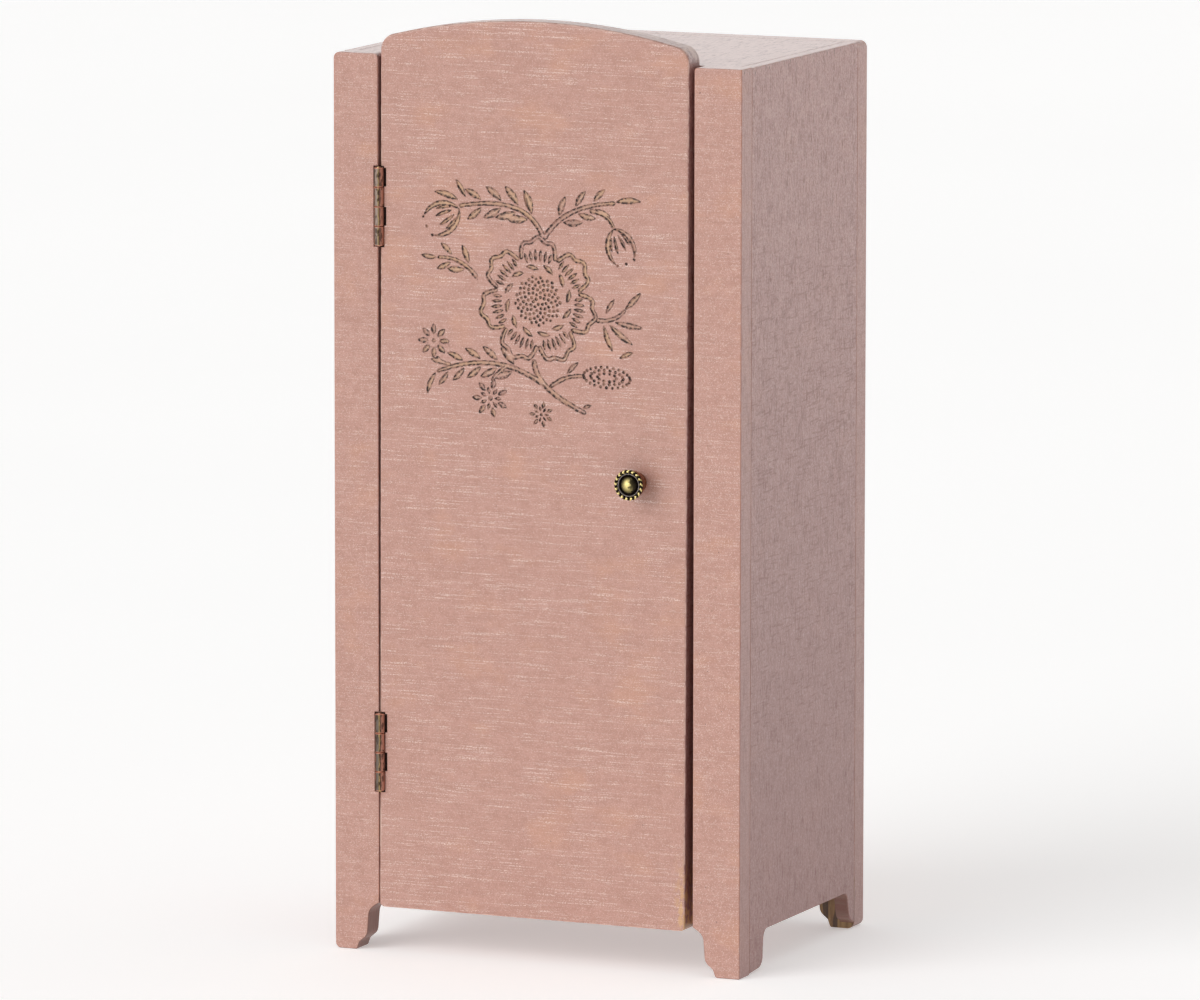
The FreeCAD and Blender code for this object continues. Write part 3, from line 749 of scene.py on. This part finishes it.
# ---- the knob ----
ROPE_TWISTS = 17
ROPE_RADIUS = 3.13          # from the knob's axis to the middle of the rope
ROPE_OUT = 5.02             # from the door to the middle of the rope
ROPE_THICKNESS = 0.37
KNOB_SEGMENTS = 96
RING_RADII = (2.35, 2.68)   # the dark ring inside the rope
KNOB_FACE = 4.5             # the dished face lies further out than this
KNOB_PROFILE = (            # radius, distance out from the door, bright metal left: worn high points, and on the dome a painted highlight that rises to its centre
    (0.0, 0.0, 0.3), (2.2, 0.0, 0.3), (2.3, 0.12, 0.5), (2.3, 0.55, 0.5), (2.15, 0.75, 0.2),
    (1.75, 1.05, 0.1), (1.68, 1.5, 0.2), (1.74, 2.1, 0.2), (2.0, 2.32, 0.2), (2.7, 2.42, 0.3),
    (2.98, 2.55, 0.6), (3.06, 2.8, 0.7),
    (3.08, 3.4, 0.4), (3.12, 4.0, 0.4), (3.16, 4.5, 0.3), (3.2, 4.8, 0.2), (3.1, 5.0, 0.05), (2.9, 5.0, 0.0),
    (2.78, 4.85, 0.0), (2.72, 4.80, 0.0), (2.68, 4.90, 0.2), (2.62, 5.16, 0.4), (2.52, 5.26, 0.5),
    (2.42, 5.16, 0.4), (2.34, 4.86, 0.0), (2.26, 4.62, 0.0), (2.10, 4.56, 0.0), (2.02, 4.62, 0.0),
    (1.95, 4.80, 0.05), (1.78, 5.12, 0.18), (1.45, 5.42, 0.46), (1.0, 5.63, 0.72), (0.5, 5.74, 0.90),
    (0.0, 5.78, 0.92))


def knob_shape():
    """The cast knob: a turned body with a ring and a dome in its dish, and a twisted rope round its rim."""
    shape = bmesh.new()
    polish_and_highlight = shape.verts.layers.float.new("polish_and_highlight")
    tarnish = shape.verts.layers.float.new("tarnish")

    def point(angle, radius, out, shine, violet=0.0):
        across, up = radius * math.cos(angle), radius * math.sin(angle)
        place = Vector((KNOB_AXIS.x + across, KNOB_HIGH.y - out, KNOB_AXIS.z + up))
        vertex = shape.verts.new(place * MM)
        vertex[polish_and_highlight] = shine
        vertex[tarnish] = violet
        return vertex

    def skin(rows):
        """Quads between rows of vertices, each row closed round on itself."""
        for low, high in zip(rows, rows[1:]):
            for index in range(len(low)):
                following = (index + 1) % len(low)
                corners = [low[index], low[following], high[following], high[index]]
                shape.faces.new(list(dict.fromkeys(corners)))

    rows = []
    for radius, out, shine in KNOB_PROFILE:
        if radius == 0:
            rows.append([point(0, 0, out, shine)] * KNOB_SEGMENTS)
        else:
            violet = 0.85 if RING_RADII[0] < radius < RING_RADII[1] and out > KNOB_FACE else 0.0
            rows.append([point(2 * math.pi * index / KNOB_SEGMENTS, radius, out, shine, violet)
                         for index in range(KNOB_SEGMENTS)])
    skin(rows)

    around, across = ROPE_TWISTS * 12, 18
    rope = []
    for u in range(around):
        turn = 2 * math.pi * u / around
        row = []
        for v in range(across):
            tilt = 2 * math.pi * v / across
            wave = math.cos((ROPE_TWISTS * turn - 1.3 * math.sin(tilt - 0.3) * 2) / 2) ** 2
            fat = ROPE_THICKNESS * (0.58 + 0.46 * wave ** 0.7)
            facing = math.sin(tilt - 0.25)
            # painted highlight with worn high points: bright metal on each strand's crest where it faces out
            # from the door
            shine = min(1.0, max(0.0, 3.4 * (wave - 0.54))) * min(1.0, max(0.0, 2.4 * (facing - 0.02)))
            out = ROPE_OUT + fat * math.sin(tilt)
            row.append(point(turn, ROPE_RADIUS + fat * math.cos(tilt), out, shine))
        rope.append(row)
    skin(rope + rope[:1])
    bmesh.ops.recalc_face_normals(shape, faces=shape.faces)
    return piece("knob_cast", shape, 60)


# ---- make the pieces and dress the frame ----
def dress(name, material):
    """Gives a CAD node its finish."""
    slots = nodes[name].data.materials
    slots.clear()
    slots.append(material)


PAINTED = ("left_side_panel", "right_side_panel", "top_panel", "bottom_panel", "back_panel",
           "left_stile", "right_stile")
for index, node in enumerate(PAINTED):
    rough = 1.0 if node.endswith("side_panel") else 0.5
    dress(node, paint("paint_" + node, 5.3 * index, rough, feet=True, raw_back=node == "back_panel"))
dress("clothes_rail", rail_wood("rail_wood"))
nail_brass = antique_brass("nail_brass", BRASS_BRIGHT, BRASS_WARM, 0.6)
# painted highlight: the pale stripe down each hinge barrel, duller on the lower hinge
for level, reflection_band_colour in (("upper", BRASS_GREY), ("lower", BRASS_DULL)):
    leaf_brass = antique_brass(f"{level}_hinge_brass", BRASS_WARM, BRASS_BROWN, 0.25, reflection_band=reflection_band_colour)
    for part in ("case_leaf", "door_leaf"):
        dress(f"{level}_hinge_{part}", leaf_brass)
    dress(f"{level}_hinge_pin", nail_brass)
for node in ("case_hinge_nails", "door_hinge_nails"):
    dress(node, nail_brass)
steel = plated("bright_steel", STEEL_BRIGHT, STEEL_DARK)
for node in ("knob_screw", "catch_plate", "side_brads", "back_brads", "stile_brads"):
    dress(node, steel)
dress("catch_magnet", plated("magnet_nickel", NICKEL_BRIGHT, NICKEL_DARK))

door = carve_door("door_carved", nodes["door_panel"], flower_spray())
door.data.materials.append(paint("paint_door", 61.0, carved=True))
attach(door, "door")
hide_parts("door_panel")

knob = knob_shape()
knob.data.materials.append(antique_brass("knob_brass", BRASS_BRIGHT, PATINA, 0.9, cast=True))
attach(knob, "door")
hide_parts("knob")


# ---- floor, lights and camera ----
def direction(azimuth, elevation):
    """Unit vector towards a point seen at this azimuth and elevation from the object."""
    azimuth, elevation = math.radians(azimuth), math.radians(elevation)
    return Vector((math.sin(azimuth) * math.cos(elevation), -math.cos(azimuth) * math.cos(elevation),
                   math.sin(elevation)))


def sun(name, azimuth, elevation, strength, softness):
    """A soft distant light; softness is its angle across, in degrees."""
    lamp = bpy.data.lights.new(name, "SUN")
    lamp.energy = strength
    lamp.angle = math.radians(softness)
    holder = bpy.data.objects.new(name, lamp)
    holder.rotation_euler = direction(azimuth, elevation).to_track_quat("Z", "Y").to_euler()
    bpy.context.scene.collection.objects.link(holder)


FLOOR_RADIUS_M = 9.0
floor_shape = bmesh.new()
bmesh.ops.create_circle(floor_shape, cap_ends=True, segments=128, radius=FLOOR_RADIUS_M)
floor = piece("floor", floor_shape, 30)
floor.data.materials.append(floor_paint("floor_white"))

sun("key_light", -30, 24, 1.55, 50)
sun("top_light", 10, 80, 0.5, 70)

ROOM = 0.22
BACKDROP = 1.3


def studio():
    """White surroundings with a brighter backdrop low behind the object."""
    world = bpy.data.worlds.new("studio")
    bpy.context.scene.world = world
    world.use_nodes = True
    tree = world.node_tree
    coordinates = tree.nodes.new("ShaderNodeTexCoord")
    split = tree.nodes.new("ShaderNodeSeparateXYZ")
    tree.links.new(coordinates.outputs["Generated"], split.inputs[0])
    behind = tree.nodes.new("ShaderNodeMapRange")
    low = tree.nodes.new("ShaderNodeMapRange")
    for ramp, axis, start, end in ((behind, 1, 0.1, 0.6), (low, 2, 0.55, 0.25)):
        ramp.interpolation_type = "SMOOTHSTEP"
        ramp.inputs["From Min"].default_value = start
        ramp.inputs["From Max"].default_value = end
        tree.links.new(split.outputs[axis], ramp.inputs["Value"])
    both = tree.nodes.new("ShaderNodeMath")
    both.operation = "MULTIPLY"
    tree.links.new(behind.outputs[0], both.inputs[0])
    tree.links.new(low.outputs[0], both.inputs[1])
    level = tree.nodes.new("ShaderNodeMapRange")
    level.inputs["To Min"].default_value = ROOM
    level.inputs["To Max"].default_value = BACKDROP
    tree.links.new(both.outputs[0], level.inputs["Value"])
    tree.links.new(level.outputs[0], tree.nodes["Background"].inputs["Strength"])
    tree.nodes["Background"].inputs["Color"].default_value = (1, 1, 1, 1)


studio()

lens = bpy.data.cameras.new("camera")
lens.lens = CAMERA_LENS
lens.sensor_width = 36.0
lens.clip_end = 100.0
camera = bpy.data.objects.new("camera", lens)
bpy.context.scene.collection.objects.link(camera)
away = direction(CAMERA_AZIMUTH, CAMERA_ELEVATION)
spin = away.to_track_quat("Z", "Y").to_matrix() @ Matrix.Rotation(math.radians(CAMERA_ROLL), 3, "Z")
stand = (Vector(CAMERA_TARGET) + away * CAMERA_DISTANCE) * MM
camera.matrix_world = Matrix.Translation(stand) @ spin.to_4x4()
bpy.context.scene.camera = camera
bpy.context.scene.view_settings.view_transform = "Standard"
